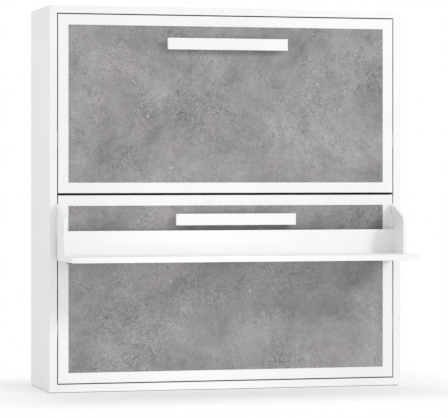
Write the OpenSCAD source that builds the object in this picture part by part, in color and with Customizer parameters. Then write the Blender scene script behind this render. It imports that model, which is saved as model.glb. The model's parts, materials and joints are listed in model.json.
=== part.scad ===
// Horizontal bunk wall bed with a desk that folds down with the lower bed.
// One tall cabinet holds two single beds, one above the other. Each bed is fixed behind a wide door
// and folds out about a pivot near the door's lower edge. The desk hangs on the lower door by a
// parallel linkage, so its top stays level while it sinks to the floor in front of the open bed.
// Units are millimetres. +Z is up, -Y is towards the user, and the origin is on the floor below the
// middle of the overall box.

/* [Cabinet] */
// Width over both sides
cabinet_w = 2064; // [2040:2:2200]
// Height from the floor to the top face
cabinet_h = 2170; // [2160:5:2260]
// Depth from the door faces to the wall
cabinet_d = 580; // [560:5:640]
// Thickness of the sides, top and bottom
board_t = 42; // [38:1:44]
// Thickness of the back panels
back_t = 8; // [6:1:10]
// Height of the glides under the sides
glide_h = 4; // [3:1:8]

/* [Doors] */
// Gap between a door and the cabinet
door_gap = 6.5; // [5:0.5:7]
// Gap between the two doors
middle_gap = 13; // [8:1:14]
// Height of the lower door
lower_door_h = 1053; // [1050:1:1060]
// Thickness of a whole door
door_t = 22; // [20:1:24]
// Width of the white border round each grey panel
border_w = 58.5; // [40:0.5:90]
// Depth by which the grey panel lies behind its border
panel_recess = 1; // [0.5:0.5:3]

/* [Handles] */
// Length of a handle bar
handle_l = 704; // [500:4:900]
// Height of a handle bar
handle_h = 66; // [40:2:80]
// Thickness of a handle bar
handle_t = 16; // [12:1:22]
// Finger depth between a handle bar and its door
finger_gap = 30; // [25:1:40]
// Distance of the upper handle's middle from the cabinet's middle
upper_handle_x = -11; // [-60:1:60]
// Height of the upper handle's middle above the floor
upper_handle_z = 1962; // [1900:2:2020]
// Distance of the lower handle's middle from the cabinet's middle
lower_handle_x = 37; // [-60:1:60]
// Height of the lower handle's middle above the floor
lower_handle_z = 968; // [960:1:985]

/* [Beds] */
// Length of a mattress
mattress_l = 1900; // [1850:10:1900]
// Width of a mattress
mattress_w = 900; // [800:10:900]
// Thickness of a mattress
mattress_t = 160; // [120:5:160]
// Height of a pivot above its door's lower edge
pivot_rise = 292; // [280:1:292]
// Distance of a pivot behind the door's face
pivot_back = 40; // [36:1:40]
// Number of slats under each mattress
slat_n = 14; // [10:1:16]
// Width of a slat
slat_w = 60; // [50:1:68]
// Rise of a bowed slat above its ends
slat_bow = 8; // [4:1:8]

/* [Desk] */
// Depth of the desk in front of the door faces
desk_d = 450; // [400:10:500]
// Height of the desk's top above the floor
desk_z = 773; // [760:1:780]
// Thickness of the desk top
desk_t = 32; // [25:1:36]
// Height of the upstand's upper edge above the floor
upstand_z = 907; // [850:1:920]
// Distance of the upstand behind the desk's front edge
upstand_back = 385; // [360:5:400]
// Height of the wings' rear corner above the floor
wing_z = 1056; // [1045:1:1060]
// Depth of a wing from front to back
wing_d = 205; // [180:5:240]
// Thickness of the wings and the upstand
wing_t = 18; // [16:1:20]
// Radius of the corner where a wing's top turns down
wing_r = 28; // [20:1:40]
// Fall of a wing's top edge towards the front, in degrees
wing_slope = 22; // [10:1:24]

/* [Guard rail] */
// Height of the guard rail's tubes above its hinge when it stands up
guard_h = 262; // [220:1:290]
// Side of the square guard tubes
guard_t = 20; // [16:1:22]
// Distance of the outer posts from the middle
guard_x = 650; // [500:10:760]

/* [Hidden] */
front_y = (desk_d - cabinet_d) / 2;       // plane of the door faces
half_w = cabinet_w / 2;
inner_x = half_w - board_t;               // inner face of a side
door_x = inner_x - door_gap;              // end of a door
bottom_z = glide_h + board_t;             // top of the bottom panel
top_z = cabinet_h - board_t;              // underside of the top panel
lower_z = bottom_z + door_gap;            // lower edge of the lower door
upper_z = lower_z + lower_door_h + middle_gap;
upper_door_h = top_z - door_gap - upper_z;
skin_t = 10;                              // thickness of the border strips
back_y = cabinet_d - back_t;              // front of the back panels
wall_rail_h = 118;
wall_rail_t = 22;
wall_hole_x = 800;                        // wall screws, from the middle
wall_hole_dz = 50;                        // distance between the two rows
wall_hole_r = 4.5;
mid_rail_d = 90;
mid_rail_h = 44;
round_fn = 48;

// steel bed frame behind a door
side_room = 33;                           // room for the mechanism between door end and frame
frame_x = door_x - side_room;             // outer face of the frame
tube_w = 25;
tube_d = 40;
tube_wall = 2.5;
frame_y0 = door_t;
frame_y1 = door_t + tube_d;
frame_inset = 15;                         // frame's distance inside the door's edges
cross_x = 310;
slat_t = 8;
slat_y = frame_y0 + 24;                   // front face of a slat's ends
slat_gap = 5.5;                           // slat end's distance from the rail
cap_depth = 22;
cap_wall = 4;
mattress_y = frame_y1 + 0.5;
strap_t = 2;
strap_w = 50;
strap_x = 450;

// pivots, stops and plates; the places below are [y, z] measured from a bed's pivot
plate_t = 5;
plate_x1 = frame_x + plate_t;             // outer face of a pivot plate
bracket_t = 4;
bracket_x = inner_x - bracket_t;          // inner face of a bracket on a side
pin_r = 8;
fit = 0.05;                               // radial clearance of a running fit
bush_r = 11;
bush_flange_r = 14;
bush_x1 = plate_x1 + 6;
stop_at = [0, -240];
stop_r = 8;
stop_x1 = plate_x1 + 18;
stop_block_d = 36;
stop_block_h = 30;

// gas struts
strut_foot = [100, 217];                  // stud on the cabinet side
strut_head = [16, -88];                   // stud on the bed's plate
strut_r = 8.5;
strut_x = plate_x1 + 9.5;                 // middle plane of a strut
strut_stud_r = 5;
strut_bore_r = 6.5;
strut_tube_l = 183;                       // from the foot's axis to the open end
strut_gland_l = 13;
strut_rod_r = 4;
strut_rod_l = 168;                        // from the head's axis to the piston
strut_eye_r = 10;
strut_eye_w = 11;
strut_gap = 1;                            // the head stud stops this far short of its eye

// desk linkage
desk_bottom_z = desk_z - desk_t;
desk_y1 = -16;                            // rear face of the desk, its upstand and wings
desk_x = inner_x + 3;                     // end of the desk top, in front of the cabinet's edge
wing_x1 = desk_x;
wing_x0 = wing_x1 - wing_t;
upstand_y0 = upstand_back - desk_d;
upstand_y1 = upstand_y0 + wing_t;
foot_h = 12;
foot_floor_gap = 2;
hinge_at = [pivot_back, desk_bottom_z - foot_h - foot_floor_gap + lower_z + pivot_rise];
link_offset = [50, 24];                   // from each hinge to its link pin
link_r = 9;
link_t = 4;
link_x0 = bracket_x - 8;
link_pin_r = 5;
link_pin_x0 = link_x0 - 1.5;
link_open_r = 5.5;                        // bore of the open pivot at the desk's end
hinge_pin_r = 6;
ear_t = 3;
ear_x1 = inner_x - 1;
ear_x0 = ear_x1 - ear_t;
ear_slot_fit = 0.2;                       // room for the ear on each side of it in its slot
ear_r = 12;
ear_foot = [-150, 925];                   // front lower corner of the ear on its wing
ear_foot_size = [118, 52];
ear_elbow = ear_foot + ear_foot_size - [20, 26];
ear_run = hinge_at - ear_elbow;
// height at which the ear's upper edge leaves the wing
ear_exit_z = ear_elbow[1] + ((desk_y1 - ear_elbow[0]) * ear_run[1] + ear_r * norm(ear_run)) / ear_run[0];

lower_pivot = [pivot_back, lower_z + pivot_rise];
upper_pivot = [pivot_back, upper_z + pivot_rise];
white = [0.97, 0.97, 0.97];
concrete = [0.63, 0.62, 0.61];
steel = [0.72, 0.73, 0.75];
frame_grey = [0.35, 0.36, 0.38];
rubber = [0.12, 0.12, 0.12];
beech = [0.86, 0.72, 0.52];
ticking = [0.93, 0.92, 0.88];

// ---- helpers: coordinates count from the door faces, X from the middle, Z from the floor ----
module place() translate([0, front_y, 0]) children();

module both_sides() {
    children();
    mirror([1, 0, 0]) children();
}

module slab(x, y, z) translate([x[0], y[0], z[0]]) cube([x[1] - x[0], y[1] - y[0], z[1] - z[0]]);

// a flat shape drawn in Y and Z, given its thickness along X
module side_plate(x0, x1) translate([x0, 0, 0]) rotate([90, 0, 90]) linear_extrude(x1 - x0) children();

module x_rod(r, x0, x1, at)
    translate([x0, at[0], at[1]]) rotate([0, 90, 0]) cylinder(r = r, h = x1 - x0, $fn = round_fn);

// a rectangular plate from corner p to corner q, with its corners cut off
module cut_plate_2d(p, q, cut = 8) polygon([
    [p[0] + cut, p[1]], [q[0] - cut, p[1]], [q[0], p[1] + cut], [q[0], q[1] - cut],
    [q[0] - cut, q[1]], [p[0] + cut, q[1]], [p[0], q[1] - cut], [p[0], p[1] + cut]]);

module disc_2d(at, r) translate(at) circle(r, $fn = round_fn);

// the straight part of a flat bar from point p to point q, a little narrower than its round ends
module web_2d(p, q, r) {
    half = 0.96 * r;
    translate(p) rotate(atan2(q[1] - p[1], q[0] - p[0]))
        translate([0, -half]) square([norm(q - p), 2 * half]);
}

module bar_2d(p, q, r) {
    disc_2d(p, r);
    disc_2d(q, r);
    web_2d(p, q, r);
}

// ---- cabinet ----
module side_board() slab([inner_x, half_w], [0, cabinet_d], [glide_h, cabinet_h]);

module left_side() color(white) place() mirror([1, 0, 0]) side_board();
module right_side() color(white) place() side_board();

module top_panel() color(white) place() slab([-inner_x, inner_x], [0, cabinet_d], [top_z, cabinet_h]);
module bottom_panel()
    color(white) place() slab([-inner_x, inner_x], [0, cabinet_d], [glide_h, bottom_z]);

mid_rail_z = upper_z - middle_gap / 2 - mid_rail_h / 2;
module mid_rail()
    color(white) place()
        slab([-inner_x, inner_x], [back_y - mid_rail_d, back_y], [mid_rail_z, mid_rail_z + mid_rail_h]);

wall_rail_z = top_z - wall_rail_h;
module wall_rail() color(white) place() difference() {
    slab([-inner_x, inner_x], [cabinet_d - wall_rail_t, cabinet_d], [wall_rail_z, top_z]);
    for (x = [-wall_hole_x, wall_hole_x], dz = [-wall_hole_dz / 2, wall_hole_dz / 2])
        translate([x, cabinet_d + 1, wall_rail_z + wall_rail_h / 2 + dz]) rotate([90, 0, 0])
            cylinder(r = wall_hole_r, h = wall_rail_t + 2, $fn = round_fn);
}

module back_panel(z0, z1) color(white) place() slab([-inner_x, inner_x], [back_y, cabinet_d], [z0, z1]);
module lower_back_panel() back_panel(bottom_z, mid_rail_z + mid_rail_h / 2);
module upper_back_panel() back_panel(mid_rail_z + mid_rail_h / 2, wall_rail_z);

module glides() color(rubber) place()
    both_sides() for (y = [40, cabinet_d - 40])
        translate([half_w - board_t / 2, y, 0]) cylinder(r = 16, h = glide_h, $fn = round_fn);

// ---- parts on the cabinet sides that carry the beds ----
// A bracket screwed to a side, with the pin on which a bed turns. The lower pair also carries the
// pins of the desk's links.
module pivot_bracket(pivot, link) {
    side_plate(bracket_x, inner_x) difference() {
        cut_plate_2d(pivot - [30, 40], pivot + [70, 60]);
        for (dy = [-20, 58], dz = [-30, 50]) disc_2d(pivot + [dy, dz], 2.5);
    }
    x_rod(pin_r, frame_x + 0.5, bracket_x, pivot);
    if (link) x_rod(link_pin_r, link_pin_x0, bracket_x, pivot + link_offset);
}
module lower_pivot_brackets() color(steel) place() both_sides() pivot_bracket(lower_pivot, true);
module upper_pivot_brackets() color(steel) place() both_sides() pivot_bracket(upper_pivot, false);

module strut_bracket(pivot) {
    foot = pivot + strut_foot;
    side_plate(bracket_x, inner_x) difference() {
        bar_2d(foot - [0, 26], foot + [0, 26], 16);
        for (dz = [-24, 24]) disc_2d(foot + [0, dz], 2.5);
    }
    x_rod(strut_stud_r, strut_x - strut_eye_w / 2 - 1, bracket_x, foot);
}
module strut_brackets() color(steel) place() both_sides() {
    strut_bracket(lower_pivot);
    strut_bracket(upper_pivot);
}

// Blocks that the stop pins meet from below when a bed lies open.
module bed_stop(pivot) {
    meet_y = pivot[0] - stop_at[1];
    meet_z = pivot[1] + stop_r + 0.5;
    slab([stop_x1 - 14, inner_x], [meet_y - stop_block_d / 2, meet_y + stop_block_d / 2],
         [meet_z, meet_z + stop_block_h]);
}
module bed_stops() color(rubber) place() both_sides() {
    bed_stop(lower_pivot);
    bed_stop(upper_pivot);
}

// Magnets under the top panel that hold the upper bed's steel frame when it is shut.
catch_x = 700;
frame_top_z = top_z - door_gap - frame_inset;
module magnet_catches() color(white) place()
    both_sides() slab([catch_x - 20, catch_x + 20], [frame_y0 + 3, frame_y1 - 3], [frame_top_z + 1, top_z]);

// ---- a door: backing board, border strips and grey panel ----
module door_board(z, h) color(white) place() slab([-door_x, door_x], [skin_t, door_t], [z, z + h]);

module door_rails(z, h) color(white) place() for (z0 = [z, z + h - border_w])
    slab([border_w - door_x, door_x - border_w], [0, skin_t], [z0, z0 + border_w]);

module door_stiles(z, h) color(white) place()
    both_sides() slab([door_x - border_w, door_x], [0, skin_t], [z, z + h]);

module door_panel(z, h) color(concrete) place()
    slab([border_w - door_x, door_x - border_w], [panel_recess, skin_t],
         [z + border_w, z + h - border_w]);

module lower_door_board() door_board(lower_z, lower_door_h);
module lower_door_rails() door_rails(lower_z, lower_door_h);
module lower_door_stiles() door_stiles(lower_z, lower_door_h);
module lower_door_panel() door_panel(lower_z, lower_door_h);
module upper_door_board() door_board(upper_z, upper_door_h);
module upper_door_rails() door_rails(upper_z, upper_door_h);
module upper_door_stiles() door_stiles(upper_z, upper_door_h);
module upper_door_panel() door_panel(upper_z, upper_door_h);

// ---- handles: a flat bar on two spacers, bevelled behind its upper and lower edge ----
handle_bevel = 6;
spacer_w = 44;
spacer_x = handle_l / 2 - 62;
module handle(x, z) color(white) place() {
    y1 = panel_recess - finger_gap;
    y0 = y1 - handle_t;
    h = handle_h / 2;
    side_plate(x - handle_l / 2, x + handle_l / 2) polygon([
        [y0, z - h], [y0, z + h], [y1 - handle_bevel, z + h], [y1, z + h - handle_bevel],
        [y1, z - h + handle_bevel], [y1 - handle_bevel, z - h]]);
}
module handle_spacers(x, z) color(white) place()
    for (dx = [-spacer_x, spacer_x])
        slab([x + dx - spacer_w / 2, x + dx + spacer_w / 2], [panel_recess - finger_gap, panel_recess],
             [z - 15, z + 15]);

module lower_handle() handle(lower_handle_x, lower_handle_z);
module lower_handle_spacers() handle_spacers(lower_handle_x, lower_handle_z);
module upper_handle() handle(upper_handle_x, upper_handle_z);
module upper_handle_spacers() handle_spacers(upper_handle_x, upper_handle_z);

// ---- steel bed frame; z and h are the door's lower edge and height ----
function rail_z(z, h) = [z + frame_inset, z + h - frame_inset - tube_w];

module frame_rails(z, h) color(frame_grey) place() for (z0 = rail_z(z, h)) difference() {
    slab([-frame_x, frame_x], [frame_y0, frame_y1], [z0, z0 + tube_w]);
    slab([-frame_x - 1, frame_x + 1], [frame_y0 + tube_wall, frame_y1 - tube_wall],
         [z0 + tube_wall, z0 + tube_w - tube_wall]);
}

module upright_tube(x0, y1, z, h) {
    z0 = rail_z(z, h)[0] + tube_w;
    z1 = rail_z(z, h)[1];
    difference() {
        slab([x0, x0 + tube_w], [frame_y0, y1], [z0, z1]);
        slab([x0 + tube_wall, x0 + tube_w - tube_wall], [frame_y0 + tube_wall, y1 - tube_wall],
             [z0 - 1, z1 + 1]);
    }
}
module frame_ends(z, h)
    color(frame_grey) place() both_sides() upright_tube(frame_x - tube_w, frame_y1, z, h);
module frame_cross(z, h)
    color(frame_grey) place() both_sides() upright_tube(cross_x - tube_w / 2, slat_y - 4, z, h);

// Slats: plywood strips bowed towards the mattress, each end in a plastic cap on a frame rail.
slat_pitch = (2 * (frame_x - tube_w) - slat_w - 24) / (slat_n - 1);
function slat_x(i) = (i - (slat_n - 1) / 2) * slat_pitch;
slat_steps = 8;
function bow(t) = slat_bow * 4 * t * (1 - t);
module slats(z, h) color(beech) place() {
    z0 = rail_z(z, h)[0] + tube_w + slat_gap;
    span = rail_z(z, h)[1] - slat_gap - z0;
    steps = [for (k = [0 : slat_steps]) k / slat_steps];
    front = [for (t = steps) [slat_y + bow(t), z0 + span * t]];
    rear = [for (t = steps) [slat_y + slat_t + bow(1 - t), z0 + span * (1 - t)]];
    for (i = [0 : slat_n - 1])
        side_plate(slat_x(i) - slat_w / 2, slat_x(i) + slat_w / 2) polygon(concat(front, rear));
}

module slat_cap() difference() {
    slab([-slat_w / 2 - cap_wall, slat_w / 2 + cap_wall], [slat_y - cap_wall, slat_y + slat_t + 7],
         [0, cap_depth]);
    slab([-slat_w / 2 - 0.4, slat_w / 2 + 0.4], [slat_y - 0.4, slat_y + slat_t + 3],
         [slat_gap - 0.5, cap_depth + 1]);
}
module slat_caps(z, h) color(rubber) place() for (i = [0 : slat_n - 1]) translate([slat_x(i), 0, 0]) {
    translate([0, 0, rail_z(z, h)[0] + tube_w]) slat_cap();
    translate([0, 0, rail_z(z, h)[1]]) mirror([0, 0, 1]) slat_cap();
}

module lower_frame_rails() frame_rails(lower_z, lower_door_h);
module lower_frame_ends() frame_ends(lower_z, lower_door_h);
module lower_frame_cross() frame_cross(lower_z, lower_door_h);
module lower_slats() slats(lower_z, lower_door_h);
module lower_slat_caps() slat_caps(lower_z, lower_door_h);
module upper_frame_rails() frame_rails(upper_z, upper_door_h);
module upper_frame_ends() frame_ends(upper_z, upper_door_h);
module upper_frame_cross() frame_cross(upper_z, upper_door_h);
module upper_slats() slats(upper_z, upper_door_h);
module upper_slat_caps() slat_caps(upper_z, upper_door_h);

// ---- mattress: crowned faces, drawn-in sides and a rolled edge, lofted through rounded outlines ----
corner_r = 60;
corner_steps = 5;
side_steps = 4;
side_pull = 5;
// [inset from the widest outline, height as a share of the thickness]
mattress_profile = [
    [330, 0], [150, 0.015], [50, 0.045], [14, 0.09], [1, 0.17], [6, 0.28], [9, 0.5],
    [6, 0.72], [1, 0.83], [14, 0.91], [50, 0.955], [150, 0.985], [330, 1]];

// One side of an outline from the end of one corner to the start of the next, drawn in at its middle
function side_point(half, across, t) =
    [-half + 2 * half * t, across - side_pull * 4 * t * (1 - t)];

// A closed rounded outline of half sizes a and b, counter-clockwise
function outline(a, b) =
    let (r = min(corner_r, a * 0.9, b * 0.9))
    concat(
        [for (k = [0 : corner_steps]) let (g = 90 * k / corner_steps)
            [a - r + r * cos(g), b - r + r * sin(g)]],
        [for (k = [1 : side_steps - 1]) let (p = side_point(a - r, b, k / side_steps)) [-p[0], p[1]]],
        [for (k = [0 : corner_steps]) let (g = 90 + 90 * k / corner_steps)
            [r - a + r * cos(g), b - r + r * sin(g)]],
        [for (k = [1 : side_steps - 1]) let (p = side_point(b - r, a, k / side_steps)) [-p[1], -p[0]]],
        [for (k = [0 : corner_steps]) let (g = 180 + 90 * k / corner_steps)
            [r - a + r * cos(g), r - b + r * sin(g)]],
        [for (k = [1 : side_steps - 1]) let (p = side_point(a - r, b, k / side_steps)) [p[0], -p[1]]],
        [for (k = [0 : corner_steps]) let (g = 270 + 90 * k / corner_steps)
            [a - r + r * cos(g), r - b + r * sin(g)]],
        [for (k = [1 : side_steps - 1]) let (p = side_point(b - r, a, k / side_steps)) [p[1], p[0]]]);

module mattress(middle_z) color(ticking) place() {
    rings = [for (p = mattress_profile)
        [for (q = outline(mattress_l / 2 - p[0], mattress_w / 2 - p[0]))
            [q[0], mattress_y + p[1] * (mattress_t - 1), middle_z + q[1]]]];
    n = len(rings[0]);
    m = len(rings);
    polyhedron(
        points = [for (r = rings) for (p = r) p],
        faces = concat(
            [[for (k = [0 : n - 1]) k]],
            [for (j = [0 : m - 2]) for (k = [0 : n - 1])
                [j * n + k, (j + 1) * n + k, (j + 1) * n + (k + 1) % n]],
            [for (j = [0 : m - 2]) for (k = [0 : n - 1])
                [j * n + k, (j + 1) * n + (k + 1) % n, j * n + (k + 1) % n]],
            [[for (k = [0 : n - 1]) (m - 1) * n + n - 1 - k]]));
}
lower_mattress_z = lower_z + lower_door_h / 2 + 2;
upper_mattress_z = upper_z + frame_inset + 15 + mattress_w / 2;
module lower_mattress() mattress(lower_mattress_z);
module upper_mattress() mattress(upper_mattress_z);

// Two webbing straps hold each mattress while its bed is shut.
module straps(middle_z, z, h) color(frame_grey) place() {
    reach = mattress_w / 2 + 1;
    out = reach + strap_t;
    y1 = mattress_y + mattress_t + 0.5;
    rails = [rail_z(z, h)[0] + 4, rail_z(z, h)[1] + tube_w - 4];
    for (x = [-strap_x, strap_x]) side_plate(x - strap_w / 2, x + strap_w / 2) polygon([
        [frame_y1, rails[1]], [frame_y1, middle_z + reach], [y1, middle_z + reach],
        [y1, middle_z - reach], [frame_y1, middle_z - reach], [frame_y1, rails[0]],
        [frame_y1 + strap_t, rails[0]], [frame_y1 + strap_t, middle_z - out],
        [y1 + strap_t, middle_z - out], [y1 + strap_t, middle_z + out],
        [frame_y1 + strap_t, middle_z + out], [frame_y1 + strap_t, rails[1]]]);
}
module lower_straps() straps(lower_mattress_z, lower_z, lower_door_h);
module upper_straps() straps(upper_mattress_z, upper_z, upper_door_h);

// ---- pivot plates on the ends of a bed frame, with the stop pin and the strut's stud ----
module pivot_plate(pivot) {
    side_plate(frame_x, plate_x1) difference() {
        union() {
            cut_plate_2d([frame_y0 + 2, pivot[1] - 262], [frame_y1 - 2, pivot[1] + 150]);
            web_2d(pivot + [0, -60], pivot + strut_head, 16);
            disc_2d(pivot + strut_head, 16);
        }
        disc_2d(pivot, bush_r);
        for (dz = [-210, -140, 60, 130]) disc_2d(pivot + [0, dz], 3);
    }
    x_rod(stop_r, plate_x1, stop_x1, pivot + stop_at);
    x_rod(strut_stud_r, plate_x1, strut_x - strut_eye_w / 2 - strut_gap, pivot + strut_head);
}
module lower_pivot_plates() color(steel) place() both_sides() pivot_plate(lower_pivot);
module upper_pivot_plates() color(steel) place() both_sides() pivot_plate(upper_pivot);

module pivot_bush(pivot) difference() {
    union() {
        x_rod(bush_r - 0.02, frame_x + 0.2, plate_x1, pivot);
        x_rod(bush_flange_r, plate_x1, bush_x1, pivot);
    }
    x_rod(pin_r + fit, frame_x - 1, bush_x1 + 1, pivot);
}
module lower_pivot_bushes() color(rubber) place() both_sides() pivot_bush(lower_pivot);
module upper_pivot_bushes() color(rubber) place() both_sides() pivot_bush(upper_pivot);

// ---- desk: level top, upstand behind it, and a wing at each end ----
module desk_board() color(white) place()
    slab([-desk_x, desk_x], [-desk_d, desk_y1], [desk_bottom_z, desk_z]);

module desk_upstand() color(white) place()
    slab([-wing_x0, wing_x0], [upstand_y0, upstand_y1], [desk_z, upstand_z]);

wing_arc_steps = 8;
module wing_2d() {
    y0 = desk_y1 - wing_d;
    turn = 90 - wing_slope;
    front_z = wing_z - (wing_d - wing_r) * tan(wing_slope) - wing_r / cos(wing_slope);
    arc = [for (k = [0 : wing_arc_steps]) let (g = 180 - turn * k / wing_arc_steps)
        [y0 + wing_r + wing_r * cos(g), front_z + wing_r * sin(g)]];
    polygon(concat([[desk_y1, desk_z], [y0, desk_z]], arc, [[desk_y1, wing_z]]));
}
// The slot is open at the wing's rear edge, so that the ear slides in from there.
module ear_slot_2d() polygon([
    ear_foot - [1, 1], [desk_y1 + 1, ear_foot[1] - 1], [desk_y1 + 1, ear_exit_z + 1],
    ear_foot + [-1, ear_foot_size[1] + 1]]);
module wing() difference() {
    side_plate(wing_x0, wing_x1) wing_2d();
    side_plate(ear_x0 - ear_slot_fit, ear_x1 + ear_slot_fit) ear_slot_2d();
}
module left_wing() color(white) place() mirror([1, 0, 0]) wing();
module right_wing() color(white) place() wing();

// Steel ears held in the wings; they pass beside the door's ends to the hinge behind it.
module ear_2d() {
    cut_plate_2d(ear_foot, ear_foot + ear_foot_size);
    web_2d(ear_elbow, hinge_at, ear_r);
    disc_2d(hinge_at, ear_r);
    web_2d(hinge_at, hinge_at + link_offset, ear_r);
    disc_2d(hinge_at + link_offset, ear_r);
}
module desk_ears() color(white) place() both_sides() {
    side_plate(ear_x0, ear_x1) ear_2d();
    x_rod(hinge_pin_r, frame_x + 0.5, ear_x0, hinge_at);
    x_rod(link_pin_r, link_pin_x0, ear_x0, hinge_at + link_offset);
}

foot_x = 930;
foot_y = [-60, -130];
module desk_feet() color(rubber) place() both_sides() for (y = foot_y)
    translate([foot_x, y, desk_bottom_z - foot_h]) cylinder(r = 20, h = foot_h, $fn = round_fn);

// Screws up through the desk top into the wings and the upstand.
screw_r = 2.5;
screw_head_r = 5;
screw_head_h = 2;
screw_l = 60;
module desk_screw(x, y) translate([x, y, desk_bottom_z - screw_head_h]) {
    cylinder(r = screw_head_r, h = screw_head_h, $fn = round_fn);
    translate([0, 0, screw_head_h]) cylinder(r = screw_r, h = screw_l, $fn = round_fn);
}
wing_screw_x = (wing_x0 + wing_x1) / 2;
module desk_screws() color(steel) place() {
    both_sides() for (y = [-40, -110, -190]) desk_screw(wing_screw_x, y);
    for (x = [-800, -400, 0, 400, 800]) desk_screw(x, (upstand_y0 + upstand_y1) / 2);
}

// Brackets on the lower bed's frame that carry the desk's hinge pins.
module hinge_bracket() {
    side_plate(frame_x, plate_x1) difference() {
        cut_plate_2d([frame_y0 + 2, hinge_at[1] - 60], [frame_y1 - 2, hinge_at[1] + 24]);
        disc_2d(hinge_at, hinge_pin_r + fit);
        for (dz = [-45, -25]) disc_2d(hinge_at + [0, dz], 2.5);
    }
    difference() {
        x_rod(hinge_pin_r + 5, plate_x1, plate_x1 + 11, hinge_at);
        x_rod(hinge_pin_r + fit, plate_x1 - 1, plate_x1 + 12, hinge_at);
    }
}
module desk_hinge_brackets() color(steel) place() both_sides() hinge_bracket();

// Links from the cabinet to the ears; with the bed itself they keep the desk level.
module desk_links() color(steel) place() both_sides() side_plate(link_x0, link_x0 + link_t) difference() {
    bar_2d(lower_pivot + link_offset, hinge_at + link_offset, link_r);
    disc_2d(lower_pivot + link_offset, link_pin_r + fit);
    disc_2d(hinge_at + link_offset, link_open_r);
}

// ---- gas struts: each is drawn along its own axis, from the foot to the head ----
module on_strut(pivot) {
    foot = pivot + strut_foot;
    along = strut_head - strut_foot;
    translate([strut_x, foot[0], foot[1]]) rotate([atan2(-along[0], along[1]), 0, 0]) children();
}
strut_l = norm(strut_head - strut_foot);
module eye(z) translate([-strut_eye_w / 2, 0, z]) rotate([0, 90, 0])
    cylinder(r = strut_eye_r, h = strut_eye_w, $fn = round_fn);
module eye_bore(z) translate([-strut_eye_w, 0, z]) rotate([0, 90, 0])
    cylinder(r = strut_stud_r + fit, h = 2 * strut_eye_w, $fn = round_fn);

module strut_tube() difference() {
    union() {
        eye(0);
        translate([0, 0, 8]) cylinder(r = strut_r, h = strut_tube_l - 8, $fn = round_fn);
    }
    eye_bore(0);
    translate([0, 0, 20]) cylinder(r = strut_bore_r, h = strut_tube_l - strut_gland_l - 20, $fn = round_fn);
    translate([0, 0, 20]) cylinder(r = strut_rod_r + fit, h = strut_tube_l, $fn = round_fn);
}
module strut_rod() difference() {
    union() {
        eye(strut_l);
        translate([0, 0, strut_l - strut_rod_l])
            cylinder(r = strut_rod_r, h = strut_rod_l - 6, $fn = round_fn);
        translate([0, 0, strut_l - strut_rod_l])
            cylinder(r = strut_bore_r - fit, h = 8, $fn = round_fn);
    }
    eye_bore(strut_l);
}
module lower_strut_tubes() color(rubber) place() both_sides() on_strut(lower_pivot) strut_tube();
module lower_strut_rods() color(steel) place() both_sides() on_strut(lower_pivot) strut_rod();
module upper_strut_tubes() color(rubber) place() both_sides() on_strut(upper_pivot) strut_tube();
module upper_strut_rods() color(steel) place() both_sides() on_strut(upper_pivot) strut_rod();

// ---- guard rail of the upper bed, folded down over the mattress while the bed is shut ----
guard_y = mattress_y + mattress_t + 18;   // middle plane of the folded guard rail
guard_hinge_z = upper_mattress_z + mattress_w / 2 + 16;
guard_at = [guard_y, guard_hinge_z];
guard_barrel_r = 12;
guard_cheek_t = 5;
post_x = [-guard_x, 0, guard_x];
rail_drop = [guard_h - guard_t, (guard_h - guard_t) / 2];

module guard_posts() color(frame_grey) place() for (x = post_x) difference() {
    union() {
        slab([x - guard_t / 2, x + guard_t / 2], [guard_y - guard_t / 2, guard_y + guard_t / 2],
             [guard_hinge_z - guard_h, guard_hinge_z - 4]);
        x_rod(guard_barrel_r, x - guard_t / 2, x + guard_t / 2, guard_at);
    }
    x_rod(hinge_pin_r + fit, x - guard_t, x + guard_t, guard_at);
}

module guard_rails() color(frame_grey) place()
    both_sides() for (drop = rail_drop)
        slab([guard_t / 2, guard_x - guard_t / 2], [guard_y - guard_t / 2, guard_y + guard_t / 2],
             [guard_hinge_z - drop - guard_t, guard_hinge_z - drop]);

module guard_cheek_2d() {
    z0 = guard_hinge_z - 12;
    z1 = rail_z(upper_z, upper_door_h)[1] + tube_w - 2;
    polygon([[frame_y1, z0], [frame_y1, z1], [frame_y1 + 18, z1], [guard_y + 12, guard_hinge_z + 12],
             [guard_y + 12, z0]]);
}
module guard_brackets() color(steel) place() for (x = post_x) {
    for (s = [-1, 1]) translate([x + s * (guard_t / 2 + 1 + guard_cheek_t / 2), 0, 0])
        side_plate(-guard_cheek_t / 2, guard_cheek_t / 2) guard_cheek_2d();
    x_rod(hinge_pin_r, x - guard_t / 2 - 1 - guard_cheek_t, x + guard_t / 2 + 1 + guard_cheek_t, guard_at);
}

left_side();
right_side();
top_panel();
bottom_panel();
mid_rail();
wall_rail();
lower_back_panel();
upper_back_panel();
glides();
lower_pivot_brackets();
upper_pivot_brackets();
strut_brackets();
bed_stops();
magnet_catches();
lower_door_board();
lower_door_rails();
lower_door_stiles();
lower_door_panel();
lower_handle();
lower_handle_spacers();
lower_frame_rails();
lower_frame_ends();
lower_frame_cross();
lower_slats();
lower_slat_caps();
lower_mattress();
lower_straps();
lower_pivot_plates();
lower_pivot_bushes();
desk_hinge_brackets();
upper_door_board();
upper_door_rails();
upper_door_stiles();
upper_door_panel();
upper_handle();
upper_handle_spacers();
upper_frame_rails();
upper_frame_ends();
upper_frame_cross();
upper_slats();
upper_slat_caps();
upper_mattress();
upper_straps();
upper_pivot_plates();
upper_pivot_bushes();
guard_brackets();
guard_posts();
guard_rails();
desk_board();
desk_upstand();
left_wing();
right_wing();
desk_ears();
desk_feet();
desk_screws();
desk_links();
lower_strut_tubes();
lower_strut_rods();
upper_strut_tubes();
upper_strut_rods();
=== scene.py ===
import json
import math

import bmesh
import bpy
from mathutils import Matrix, Vector


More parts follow.
